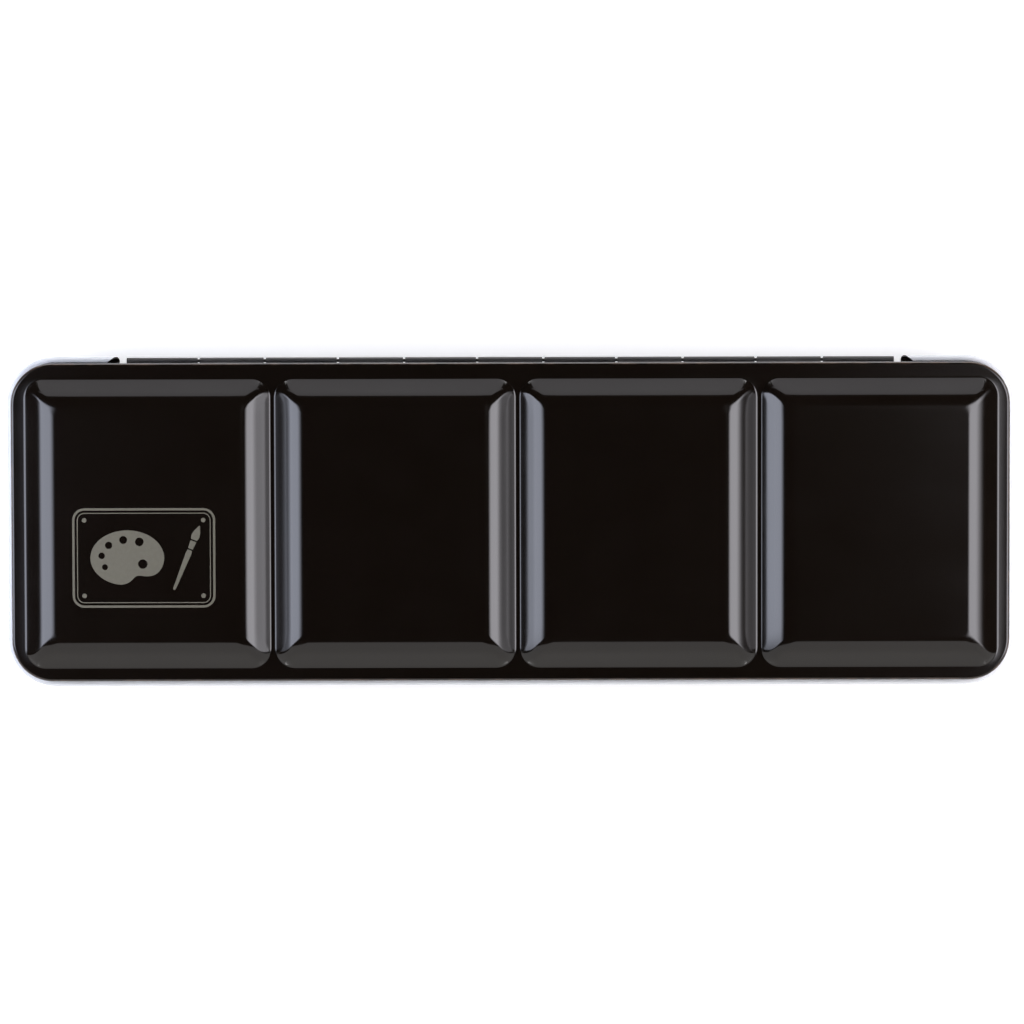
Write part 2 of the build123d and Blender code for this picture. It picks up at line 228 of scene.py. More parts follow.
class Shell:
    """Collects points, faces and the material slot of each face, and makes one mesh object of them."""

    def __init__(self):
        self.points = []
        self.faces = []
        self.slots = []

    def ring(self, points):
        """Adds points and returns their numbers."""
        first = len(self.points)
        self.points.extend(Vector(p) for p in points)
        return list(range(first, len(self.points)))

    def face(self, numbers, slot=0):
        """Adds one face between numbered points."""
        self.faces.append(tuple(numbers))
        self.slots.append(slot)

    def bridge(self, a, b, slot=0, closed=True):
        """Joins two rows of as many points by a strip of four-sided faces."""
        count = len(a) if closed else len(a) - 1
        for i in range(count):
            j = (i + 1) % len(a)
            self.face((a[i], a[j], b[j], b[i]), slot)

    def loft(self, rows, slot=0):
        """Bridges each row to the next."""
        for a, b in zip(rows, rows[1:]):
            self.bridge(a, b, slot)

    def plate(self, x, y, far_x, far_y, z):
        """Adds one level face between two corners."""
        self.face(self.ring([(x, y, z), (far_x, y, z), (far_x, far_y, z), (x, far_y, z)]))

    def fill(self, rings, slot=0, flip=False):
        """Fills a flat outline, given first, around its holes."""
        numbers = [n for ring in rings for n in ring]
        triangles = tessellate_polygon([[self.points[n] for n in ring] for ring in rings])
        for a, b, c in triangles:
            corner = [numbers[a], numbers[b], numbers[c]]
            p, q, r = (self.points[n] for n in corner)
            if ((q - p).cross(r - p).z < 0) != flip:
                corner.reverse()
            self.face(corner, slot)

    def cap(self, ring, slot=0):
        """Closes one plane ring by triangles, whichever way it lies."""
        triangles = tessellate_polygon([[self.points[n] for n in ring]])
        for a, b, c in triangles:
            self.face((ring[a], ring[b], ring[c]), slot)

    def make(self, name, materials, smooth_angle=40):
        """Makes the mesh object, smooth over edges blunter than an angle in degrees."""
        mesh = bpy.data.meshes.new(name)
        mesh.from_pydata([tuple(p) for p in self.points], [], self.faces)
        for material in materials:
            mesh.materials.append(material)
        mesh.polygons.foreach_set("material_index", self.slots)
        mesh.validate()
        finish_normals(mesh, smooth_angle)
        obj = bpy.data.objects.new(name, mesh)
        bpy.context.scene.collection.objects.link(obj)
        return obj


def finish_normals(mesh, smooth_angle):
    """Turns all faces outwards and shades them smoothly except over sharp edges."""
    bm = bmesh.new()
    bm.from_mesh(mesh)
    bmesh.ops.recalc_face_normals(bm, faces=bm.faces)
    for face in bm.faces:
        face.smooth = True
    limit = math.radians(smooth_angle)
    for edge in bm.edges:
        edge.smooth = len(edge.link_faces) == 2 and edge.calc_face_angle(0) < limit
    bm.to_mesh(mesh)
    bm.free()


def rounded_outline(half_x, half_y, radius, corner_steps, x_stops, y_stops):
    """Stations (x, y, normal x, normal y) anticlockwise round a rounded rectangle.

    The stops are the places of the stations along its straight sides, between the corners.
    """
    arc_x = half_x - radius
    arc_y = half_y - radius
    stations = []

    def corner(centre_x, centre_y, start):
        for i in range(corner_steps + 1):
            angle = start + math.pi / 2 * i / corner_steps
            nx = math.cos(angle)
            ny = math.sin(angle)
            stations.append((centre_x + radius * nx, centre_y + radius * ny, nx, ny))

    stations.extend((x, -half_y, 0.0, -1.0) for x in sorted(x_stops))
    corner(arc_x, -arc_y, -math.pi / 2)
    stations.extend((half_x, y, 1.0, 0.0) for y in sorted(y_stops))
    corner(arc_x, arc_y, 0.0)
    stations.extend((x, half_y, 0.0, 1.0) for x in sorted(x_stops, reverse=True))
    corner(-arc_x, arc_y, math.pi / 2)
    stations.extend((-half_x, y, -1.0, 0.0) for y in sorted(y_stops, reverse=True))
    corner(-arc_x, -arc_y, math.pi)
    return stations


def offset_ring(stations, offset, z, centre=(0.0, 0.0)):
    """Points of an outline moved outwards by offset, at one height."""
    cx, cy = centre
    return [(cx + x + nx * offset, cy + y + ny * offset, z) for x, y, nx, ny in stations]


def spread(low, high, count):
    """Evenly spaced stops strictly between two ends."""
    return [low + (high - low) * i / (count + 1) for i in range(1, count + 1)]


def rounded_path(corners, steps=6):
    """Points of a path (u, v) whose corners, given as (u, v, radius), are rounded by arcs."""
    path = []
    for i, (u, v, radius) in enumerate(corners):
        if radius == 0 or i in (0, len(corners) - 1):
            path.append((u, v))
            continue
        here = Vector((u, v))
        before = (Vector(corners[i - 1][:2]) - here).normalized()
        after = (Vector(corners[i + 1][:2]) - here).normalized()
        half = before.angle(after) / 2
        reach = radius / math.tan(half)
        centre = here + (before + after).normalized() * radius / math.sin(half)
        start = here + before * reach - centre
        end = here + after * reach - centre
        sweep = math.atan2(start.x * end.y - start.y * end.x, start.dot(end))
        for k in range(steps + 1):
            turned = Matrix.Rotation(sweep * k / steps, 2) @ start
            path.append(tuple(centre + turned))
    return path


def strip_section(path, thickness):
    """Outline of a strip of even thickness that follows a path in its own plane."""
    left = []
    right = []
    for i, point in enumerate(path):
        here = Vector(point)
        before = Vector(path[max(i - 1, 0)])
        after = Vector(path[min(i + 1, len(path) - 1)])
        along = (after - before).normalized()
        across = Vector((-along.y, along.x)) * thickness / 2
        left.append(here + across)
        right.append(here - across)
    return left + right[::-1]


def circle(centre_x, centre_y, radius, steps=24):
    """Points (x, y) round a circle."""
    turns = [2 * math.pi * k / steps for k in range(steps)]
    return [(centre_x + radius * math.cos(turn), centre_y + radius * math.sin(turn)) for turn in turns]


def extrude_section(shell, section, start, width, pivot, slot=0, cap_slot=0):
    """Adds a section (u, v) about a pivot (y, z) to a shell, drawn out by width along +X."""
    rows = []
    for x in (start, start + HOLD, start + width - HOLD, start + width):
        rows.append(shell.ring([(x, pivot[0] + u, pivot[1] + v) for u, v in section]))
    shell.loft(rows, slot)
    shell.cap(rows[0], cap_slot)
    shell.cap(rows[-1], cap_slot)


def new_material(name, base_color, roughness, **inputs):
    """A principled material with its plain values set, its node tree for adding to, and its shader."""
    material = bpy.data.materials.new(name)
    material.use_nodes = True
    shader = material.node_tree.nodes["Principled BSDF"]
    shader.inputs["Base Color"].default_value = (*base_color, 1.0)
    shader.inputs["Roughness"].default_value = roughness
    for key, value in inputs.items():
        shader.inputs[key.replace("_", " ")].default_value = value
    return material, material.node_tree, shader


def coordinates(tree, scale=(1.0, 1.0, 1.0)):
    """The piece's own coordinates, in metres, stretched by scale."""
    source = tree.nodes.new("ShaderNodeTexCoord")
    mapping = tree.nodes.new("ShaderNodeMapping")
    mapping.inputs["Scale"].default_value = scale
    tree.links.new(source.outputs["Object"], mapping.inputs["Vector"])
    return mapping.outputs["Vector"]


def noise(tree, vector, scale, detail=2.0, roughness=0.5):
    """A noise texture's value, with scale waves to the metre."""
    texture = tree.nodes.new("ShaderNodeTexNoise")
    texture.inputs["Scale"].default_value = scale
    texture.inputs["Detail"].default_value = detail
    texture.inputs["Roughness"].default_value = roughness
    tree.links.new(vector, texture.inputs["Vector"])
    return texture.outputs["Fac"]


def remap(tree, value, low, high, to_low=0.0, to_high=1.0, smooth=False):
    """Maps a value from one range onto another, and keeps it inside."""
    node = tree.nodes.new("ShaderNodeMapRange")
    if smooth:
        node.interpolation_type = "SMOOTHSTEP"
    node.inputs["From Min"].default_value = low
    node.inputs["From Max"].default_value = high
    node.inputs["To Min"].default_value = to_low
    node.inputs["To Max"].default_value = to_high
    tree.links.new(value, node.inputs["Value"])
    return node.outputs["Result"]


def mix_color(tree, factor, a, b):
    """Mixes two colours by a factor. Each is a plain colour or an output."""
    node = tree.nodes.new("ShaderNodeMix")
    node.data_type = "RGBA"
    tree.links.new(factor, node.inputs["Factor"])
    for key, value in (("A", a), ("B", b)):
        socket = [s for s in node.inputs if s.name == key and s.type == "RGBA"][0]
        if isinstance(value, bpy.types.NodeSocket):
            tree.links.new(value, socket)
        else:
            socket.default_value = (*value, 1.0)
    return [s for s in node.outputs if s.type == "RGBA"][0]


def math_node(tree, operation, a, b):
    """Joins two values, each a number or an output, and keeps the result between 0 and 1."""
    node = tree.nodes.new("ShaderNodeMath")
    node.operation = operation
    node.use_clamp = True
    for i, value in enumerate((a, b)):
        if isinstance(value, bpy.types.NodeSocket):
            tree.links.new(value, node.inputs[i])
        else:
            node.inputs[i].default_value = value
    return node.outputs[0]


def tint(tree, shader, factor, a, b):
    """Colours a shader between two colours by a factor."""
    tree.links.new(mix_color(tree, factor, a, b), shader.inputs["Base Color"])


def bump(tree, shader, height, distance):
    """Gives a shader a fine relief, as deep as distance."""
    node = tree.nodes.new("ShaderNodeBump")
    node.inputs["Distance"].default_value = distance
    tree.links.new(height, node.inputs["Height"])
    tree.links.new(node.outputs["Normal"], shader.inputs["Normal"])


def black_enamel():
    """Satin black stoving enamel: a fine orange peel, faint rubbing marks and a patchy brown tint painted
    along the lid's edge radius as the colour of its highlight.
    """
    material, tree, shader = new_material("black_enamel", (0.0062, 0.0046, 0.0038), 0.12, IOR=1.6)
    place = coordinates(tree)
    mottle = noise(tree, place, 90.0, 3.0)
    sound = mix_color(tree, mottle, (0.0047, 0.0030, 0.0019), (0.0074, 0.0051, 0.0038))
    split = tree.nodes.new("ShaderNodeSeparateXYZ")
    tree.links.new(place, split.inputs["Vector"])
    height = split.outputs["Z"]
    # Brown painted in patches on the edge radius just below the plate: a painted tint of the edge's
    # highlight
    above_skirt = remap(tree, height, LID_PLATE_Z - LID_EDGE_RADIUS, LID_PLATE_Z - EDGE_HIGHLIGHT_TINT_TO)
    below_plate = remap(tree, height, LID_PLATE_Z, LID_PLATE_Z - EDGE_HIGHLIGHT_TINT_FROM)
    thin = math_node(tree, "MULTIPLY", above_skirt, below_plate)
    patchy = remap(tree, noise(tree, place, 260.0, 4.0), 0.35, 0.8)
    thin = math_node(tree, "MULTIPLY", thin, patchy)
    tint(tree, shader, thin, sound, (0.11, 0.07, 0.05))
    smear = noise(tree, coordinates(tree, (1.0, 2.6, 1.0)), 38.0, 4.0, 0.6)
    tree.links.new(remap(tree, smear, 0.3, 0.75, 0.10, 0.13), shader.inputs["Roughness"])
    peel = noise(tree, place, 1500.0, 2.0)
    bump(tree, shader, peel, 0.0012 * MM)
    return material


def hinge_enamel_painted_sheen():
    """Black enamel rubbed dull where the hinge was rolled, painted several times lighter than the lid's
    black as a painted sheen on the knuckles.
    """
    # The base colours, about seven times the lid's black, are painted sheen for the knuckles' lit tops
    material, tree, shader = new_material("hinge_enamel_painted_sheen", (0.04, 0.038, 0.036), 0.5, IOR=1.6)
    place = coordinates(tree)
    rub = noise(tree, coordinates(tree, (0.3, 1.0, 1.0)), 500.0, 4.0)
    tint(tree, shader, rub, (0.028, 0.026, 0.024), (0.052, 0.049, 0.046))
    tree.links.new(remap(tree, rub, 0.3, 0.7, 0.44, 0.58), shader.inputs["Roughness"])
    bump(tree, shader, noise(tree, place, 2200.0, 3.0), 0.004 * MM)
    return material


def white_enamel():
    """Glossy white stoving enamel, a trace uneven in tone."""
    material, tree, shader = new_material("white_enamel", (0.84, 0.86, 0.89), 0.16, IOR=1.55)
    place = coordinates(tree)
    tone = noise(tree, place, 60.0, 3.0)
    tint(tree, shader, tone, (0.83, 0.85, 0.88), (0.86, 0.87, 0.89))
    bump(tree, shader, noise(tree, place, 1100.0, 2.0), 0.001 * MM)
    return material


def bare_edge():
    """Cut edge of the tinplate, where the enamel is thin."""
    material, tree, shader = new_material("cut_tinplate", (0.11, 0.10, 0.095), 0.45, Metallic=0.6)
    grain = noise(tree, coordinates(tree), 900.0, 3.0)
    tint(tree, shader, grain, (0.05, 0.045, 0.04), (0.16, 0.15, 0.14))
    return material


def print_ink():
    """Flat warm grey screen print."""
    material, tree, shader = new_material("print_ink", (0.153, 0.143, 0.106), 0.5)
    grain = noise(tree, coordinates(tree), 1400.0, 3.0)
    tint(tree, shader, grain, (0.136, 0.126, 0.092), (0.170, 0.160, 0.120))
    return material


def tinned_steel():
    """Rolled tinplate of the rails, with its grain along the box."""
    material, tree, shader = new_material("tinned_steel", (0.60, 0.60, 0.60), 0.3, Metallic=1.0)
    grain = noise(tree, coordinates(tree, (14.0, 400.0, 400.0)), 6.0, 4.0)
    cloud = noise(tree, coordinates(tree), 70.0, 3.0)
    tint(tree, shader, cloud, (0.50, 0.50, 0.51), (0.66, 0.66, 0.65))
    tree.links.new(remap(tree, grain, 0.3, 0.7, 0.24, 0.42), shader.inputs["Roughness"])
    bump(tree, shader, grain, 0.004 * MM)
    return material


def nickel_plate():
    """Bright nickel plate with fine rubbing marks."""
    material, tree, shader = new_material("nickel_plate", (0.66, 0.64, 0.60), 0.16, Metallic=1.0)
    marks = noise(tree, coordinates(tree, (3.0, 1.0, 1.0)), 420.0, 4.0)
    tree.links.new(remap(tree, marks, 0.3, 0.75, 0.11, 0.27), shader.inputs["Roughness"])
    tint(tree, shader, marks, (0.60, 0.58, 0.54), (0.70, 0.68, 0.65))
    return material


def dark_wire():
    """Oiled dark steel wire of the hinge."""
    material, tree, shader = new_material("dark_wire", (0.07, 0.066, 0.06), 0.38, Metallic=1.0)
    marks = noise(tree, coordinates(tree, (0.2, 1.0, 1.0)), 700.0, 4.0)
    tree.links.new(remap(tree, marks, 0.3, 0.7, 0.3, 0.5), shader.inputs["Roughness"])
    return material


def pan_plastic():
    """White moulded plastic of the half pans."""
    material, tree, shader = new_material("pan_plastic", (0.80, 0.80, 0.78), 0.32, IOR=1.5)
    place = coordinates(tree)
    tone = noise(tree, place, 160.0, 3.0)
    tint(tree, shader, tone, (0.77, 0.77, 0.75), (0.82, 0.82, 0.80))
    bump(tree, shader, noise(tree, place, 2400.0, 2.0), 0.002 * MM)
    return material


def cake_material(name, color):
    """Cast watercolour: deep colour, a soft sheen, a fine dry skin and a paler bloom here and there."""
    material, tree, shader = new_material(name, color, 0.42)
    place = coordinates(tree)
    clouds = noise(tree, place, 260.0, 4.0, 0.6)
    deep = [c * 0.8 for c in color]
    pale = [min(1.0, c * 1.12 + 0.008) for c in color]
    tint(tree, shader, clouds, deep, pale)
    tree.links.new(remap(tree, clouds, 0.3, 0.7, 0.32, 0.55), shader.inputs["Roughness"])
    bump(tree, shader, noise(tree, place, 1300.0, 5.0, 0.65), 0.02 * MM)
    return material


BLACK = black_enamel()
WHITE = white_enamel()
EDGE = bare_edge()
HINGE = hinge_enamel_painted_sheen()
TINPLATE = tinned_steel()
NICKEL = nickel_plate()


def well_profile(inset):
    """Steps (run, rise) up a well's side, on its outer face or on the face that lies inset in the sheet.

    The side is a hollow foot, a flank that is a trace hollow too, a shoulder and a round crown.
    """
    height = WELL_HEIGHT - WELL_SINK

    def rise_of(radius, start, end):
        return radius * (math.cos(end) - math.cos(start))

    flank_rise = (
        height
        - rise_of(-WELL_FOOT_RADIUS, 0.0, WELL_FLANK)
        - rise_of(WELL_EASE_RADIUS, WELL_STEEPEST, WELL_SHOULDER)
        - rise_of(WELL_CROWN_RADIUS, WELL_SHOULDER, 0.0)
    )
    flank_radius = flank_rise / (math.cos(WELL_STEEPEST) - math.cos(WELL_FLANK))
    arcs = (
        (-WELL_FOOT_RADIUS, 0.0, WELL_FLANK, FOOT_STEPS),
        (flank_radius, WELL_FLANK, WELL_STEEPEST, FLANK_STEPS),
        (WELL_EASE_RADIUS, WELL_STEEPEST, WELL_SHOULDER, EASE_STEPS),
        (WELL_CROWN_RADIUS, WELL_SHOULDER, 0.0, CROWN_STEPS),
    )
    run = 0.0
    rise = 0.0
    steps = [(0.0, -inset)]
    for radius, start, end, count in arcs:
        for i in range(1, count + 1):
            slope = start + (end - start) * i / count
            here_run = run + radius * (math.sin(start) - math.sin(slope))
            here_rise = rise + rise_of(radius, start, slope)
            steps.append((here_run + inset * math.sin(slope), here_rise - inset * math.cos(slope)))
        run = here_run
        rise = here_rise
    steps.append((run + HOLD, height - inset))
    return steps


def well_corner(run):
    """Radius of a well's corner at a run up its side: round at the foot and sharp from halfway up."""
    left = max(0.0, 1 - run / WELL_CORNER_RUN)
    return WELL_CROWN_CORNER + (WELL_FOOT_CORNER - WELL_CROWN_CORNER) * left ** 2


def well_places():
    """Centre and width of each well along the lid."""
    left = WELL_SHIFT_X - (sum(WELL_WIDTHS) + (len(WELL_WIDTHS) - 1) * WELL_GAP) / 2
    places = []
    for width in WELL_WIDTHS:
        places.append((left + width / 2, width))
        left += width + WELL_GAP
    return places


def add_well(shell, centre_x, width, inset, slot):
    """Adds one face of a well and returns the ring of its foot."""
    depth = 2 * (LID_HALF_Y - WELL_SIDE_BORDER)
    rows = []
    for run, rise in well_profile(inset):
        half_x = width / 2 - run
        half_y = depth / 2 - run
        corner = well_corner(run)
        x_stops = spread(corner - half_x, half_x - corner, WELL_STOPS[0])
        y_stops = spread(corner - half_y, half_y - corner, WELL_STOPS[1])
        stations = rounded_outline(half_x, half_y, corner, WELL_CORNER_STEPS, x_stops, y_stops)
        rows.append(shell.ring(offset_ring(stations, 0, LID_PLATE_Z + rise, (centre_x, WELL_SHIFT_Y))))
    shell.loft(rows, slot)
    shell.fill([rows[-1]], slot)
    return rows[0]


def curl_trim(angle):
    """How far the end of the curl is cut back at an angle round the roll."""
    share = (angle - 1.5 * math.pi) / (0.5 * math.pi + CURL_END_ANGLE)
    return CURL_END_TRIM * max(0.0, share) ** CURL_TRIM_CURVE


def lid_rows():
    """Rows (offset, height, slot, trim) of the sheet, down its black face, round the curl and up the white.

    Also gives the two rows at the skirt's edge, between which the sheet ends along the hinge.
    """
    rows = [(-LID_EDGE_RADIUS - HOLD, LID_PLATE_Z, BLACK_FACE, 0.0)]
    for i in range(EDGE_STEPS + 1):
        angle = math.pi / 2 * (1 - i / EDGE_STEPS)
        offset = LID_EDGE_RADIUS * (math.cos(angle) - 1)
        rows.append((offset, LID_PLATE_Z + LID_EDGE_RADIUS * (math.sin(angle) - 1), BLACK_FACE, 0.0))
    rows.append((0.0, SKIRT_EDGE_Z, BLACK_FACE, 0.0))
    black_edge = len(rows) - 1
    inner = CURL_RADIUS - SHEET
    turns = [math.pi + (math.pi + CURL_END_ANGLE) * i / ROLL_STEPS for i in range(ROLL_STEPS + 1)]
    for angle in turns:
        offset = inner + inner * math.cos(angle)
        rows.append((offset, CURL_Z + inner * math.sin(angle), BLACK_FACE, curl_trim(angle)))
    for angle in reversed(turns):
        offset = inner + CURL_RADIUS * math.cos(angle)
        rows.append((offset, CURL_Z + CURL_RADIUS * math.sin(angle), WHITE_FACE, curl_trim(angle)))
    rows.append((-SHEET, SKIRT_EDGE_Z, WHITE_FACE, 0.0))
    white_edge = len(rows) - 1
    inner = LID_EDGE_RADIUS - SHEET
    for i in range(INNER_EDGE_STEPS + 1):
        angle = math.pi / 2 * i / INNER_EDGE_STEPS
        offset = inner * math.cos(angle) - LID_EDGE_RADIUS
        rows.append((offset, LID_PLATE_Z - LID_EDGE_RADIUS + inner * math.sin(angle), WHITE_FACE, 0.0))
    rows.append((-LID_EDGE_RADIUS - HOLD, LID_PLATE_Z - SHEET, WHITE_FACE, 0.0))
    return rows, black_edge, white_edge


def add_lid_edge(shell):
    """Adds skirt and curl, open along the hinge, and returns the rings where the plate's faces start."""
    arc_y = LID_HALF_Y - LID_CORNER
    trim_stop = CURL_START_X + CURL_TRIM_ROOM
    x_stops = [-CURL_START_X, CURL_START_X, -trim_stop, trim_stop]
    x_stops += spread(-CURL_START_X, CURL_START_X, LID_STOPS[0])
    y_stops = spread(-arc_y, arc_y, LID_STOPS[1])
    stations = rounded_outline(LID_HALF_X, LID_HALF_Y, LID_CORNER, CORNER_STEPS, x_stops, y_stops)
    on_back = [ny == 1.0 and abs(x) < CURL_START_X - HOLD for x, y, nx, ny in stations]
    at_end = [ny == 1.0 and abs(abs(x) - CURL_START_X) < HOLD for x, y, nx, ny in stations]
    rows, black_edge, white_edge = lid_rows()
    rings = []
    for offset, z, slot, trim in rows:
        points = offset_ring(stations, offset, z)
        for i, end in enumerate(at_end):
            if end:
                x, y, height = points[i]
                points[i] = (x + math.copysign(trim, x), y, height)
        rings.append(shell.ring(points))
    count = len(stations)
    for r in range(len(rows) - 1):
        in_curl = black_edge <= r < white_edge
        slot = rows[r + 1][2]
        for i in range(count):
            j = (i + 1) % count
            if in_curl and (on_back[i] or on_back[j]):
                continue
            shell.face((rings[r][i], rings[r][j], rings[r + 1][j], rings[r + 1][i]), slot)
    for i in range(count):
        j = (i + 1) % count
        if on_back[i] or on_back[j]:
            a = rings[black_edge]
            b = rings[white_edge]
            shell.face((a[i], a[j], b[j], b[i]), CUT_FACE)
    for i, end in enumerate(at_end):
        if end:
            for r in range(black_edge, (black_edge + white_edge) // 2):
                mirror = black_edge + white_edge - r
                ring = (rings[r][i], rings[r + 1][i], rings[mirror - 1][i], rings[mirror][i])
                if len(set(ring)) == 4:
                    shell.face(ring, CUT_FACE)
    return rings[0], rings[-1]


def knuckle_path(side, neck_reach):
    """Middle line (u, v) of a rolled knuckle about its wire, from its neck round to its free end."""
    radius = KNUCKLE_BORE + SHEET / 2
    path = [(-neck_reach, side * radius), (-neck_reach / 2, side * radius)]
    for i in range(ROLL_STEPS + 1):
        angle = side * (math.pi / 2 - (math.pi / 2 + KNUCKLE_END_ANGLE) * i / ROLL_STEPS)
        path.append((radius * math.cos(angle), radius * math.sin(angle)))
    return path


def add_knuckles(shell, first_left, width, count, section):
    """Adds a row of alike knuckles, a hinge pitch apart."""
    for i in range(count):
        left = first_left + KNUCKLE_GAP / 2 + i * KNUCKLE_PITCH
        pivot = (HINGE_Y, HINGE_Z)
        extrude_section(shell, section, left, width - KNUCKLE_GAP, pivot, HINGE_FACE, CUT_FACE)


def make_lid():
    """The lid: its edge, both faces of its plate with the wells, and its knuckles."""
    shell = Shell()
    outer_edge, inner_edge = add_lid_edge(shell)
    outer_feet = [add_well(shell, x, width, 0.0, BLACK_FACE) for x, width in well_places()]
    inner_feet = [add_well(shell, x, width, SHEET, WHITE_FACE) for x, width in well_places()]
    shell.fill([outer_edge, *outer_feet], BLACK_FACE)
    shell.fill([inner_edge, *inner_feet], WHITE_FACE)
    radius = KNUCKLE_BORE + SHEET / 2
    skirt_u = LID_HALF_Y - SHEET / 2 - HINGE_Y
    top_v = SKIRT_EDGE_Z + SHEET - HINGE_Z
    hanger = [(skirt_u, top_v, 0), (skirt_u, radius, HANGER_BEND), (0.0, radius, 0)]
    section = strip_section(rounded_path(hanger)[:-1] + knuckle_path(1, 0.0)[2:], SHEET)
    first_left = BASE_KNUCKLE_WIDTH - HINGE_HALF_SPAN
    add_knuckles(shell, first_left, LID_KNUCKLE_WIDTH, LID_KNUCKLE_COUNT, section)
    lid = shell.make("lid_shell", [BLACK, WHITE, EDGE, HINGE])
    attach(lid, "cover")
    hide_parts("lid")


def base_profile():
    """Corners (offset, height, bend radius) of the tray's sheet, from under its floor over the rim."""
    flank_top = -(FOOT_WIDTH + FOOT_FLANK_RUN)
    return [
        (flank_top - FLOOR_LEDGE, FLOOR_RECESS, 0),
        (flank_top, FLOOR_RECESS, FOOT_BEND_RADIUS),
        (-FOOT_WIDTH, 0.0, FOOT_EDGE_RADIUS),
        (0.0, 0.0, BASE_EDGE_RADIUS),
        (0.0, BASE_RIM_Z, HEM_RADIUS),
        (-2 * SHEET, BASE_RIM_Z, HEM_RADIUS),
        (-2 * SHEET, BASE_RIM_Z - HEM_HEIGHT, 0),
        (-SHEET, BASE_RIM_Z - HEM_HEIGHT, 0),
        (-SHEET, SHEET, BASE_EDGE_RADIUS - SHEET),
        (FOOT_SLANT - FOOT_WIDTH, SHEET, FOOT_HOLLOW_RADIUS),
        (flank_top + FOOT_SLANT, FLOOR_RECESS + SHEET, FOOT_BEND_RADIUS + SHEET),
        (flank_top - FLOOR_LEDGE, FLOOR_RECESS + SHEET, 0),
    ]


def make_base():
    """The tray: its pressed foot, wall and hemmed rim, and its knuckles."""
    shell = Shell()
    arc_x = BASE_HALF_X - BASE_CORNER
    arc_y = BASE_HALF_Y - BASE_CORNER
    x_stops = spread(-arc_x, arc_x, BASE_STOPS[0])
    y_stops = spread(-arc_y, arc_y, BASE_STOPS[1])
    stations = rounded_outline(BASE_HALF_X, BASE_HALF_Y, BASE_CORNER, CORNER_STEPS, x_stops, y_stops)
    path = rounded_path(base_profile())
    rings = [shell.ring(offset_ring(stations, u, v)) for u, v in path]
    rim = path.index(max(path, key=lambda point: point[1]))
    for r in range(len(path) - 1):
        shell.bridge(rings[r], rings[r + 1], WHITE_FACE if r >= rim else BLACK_FACE)
    shell.fill([rings[0]], BLACK_FACE, flip=True)
    shell.fill([rings[-1]], WHITE_FACE)
    section = strip_section(knuckle_path(-1, HINGE_Y - BASE_HALF_Y + SHEET / 2), SHEET)
    add_knuckles(shell, -HINGE_HALF_SPAN, BASE_KNUCKLE_WIDTH, LID_KNUCKLE_COUNT + 1, section)
    base = shell.make("base_shell", [BLACK, WHITE, EDGE, HINGE])
    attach(base, "box")
    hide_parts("base")


def pan_mesh(half_x, half_y, height):
    """One half pan about the middle of its foot, with its lip, as drafted walls."""
    shell = Shell()
    shrink = height * math.tan(PAN_DRAFT)
    x_stops = spread(-half_x + PAN_CORNER, half_x - PAN_CORNER, PAN_STOPS[0])
    y_stops = spread(-half_y + PAN_CORNER, half_y - PAN_CORNER, PAN_STOPS[1])
    stations = rounded_outline(half_x, half_y, PAN_CORNER, SMALL_CORNER_STEPS, x_stops, y_stops)
    floor_shrink = (height - PAN_FLOOR) * math.tan(PAN_DRAFT)
    profile = [
        (-shrink - PAN_FOOT_LEDGE, 0.0, 0),
        (-shrink, 0.0, PAN_FOOT_RADIUS),
        (-PAN_LIP_HEIGHT * math.tan(PAN_DRAFT), height - PAN_LIP_HEIGHT, PAN_LIP_HOLLOW),
        (PAN_LIP, height - PAN_LIP_HEIGHT, PAN_LIP_RADIUS),
        (PAN_LIP, height, PAN_RIM_RADIUS),
        (-PAN_WALL, height, PAN_RIM_RADIUS),
        (-PAN_WALL - floor_shrink, PAN_FLOOR, PAN_INNER_RADIUS),
        (-PAN_WALL - floor_shrink - PAN_INNER_LEDGE, PAN_FLOOR, 0),
    ]
    rings = [shell.ring(offset_ring(stations, u, v)) for u, v in rounded_path(profile, 4)]
    shell.loft(rings)
    shell.fill([rings[0]], flip=True)
    shell.fill([rings[-1]])
    return shell


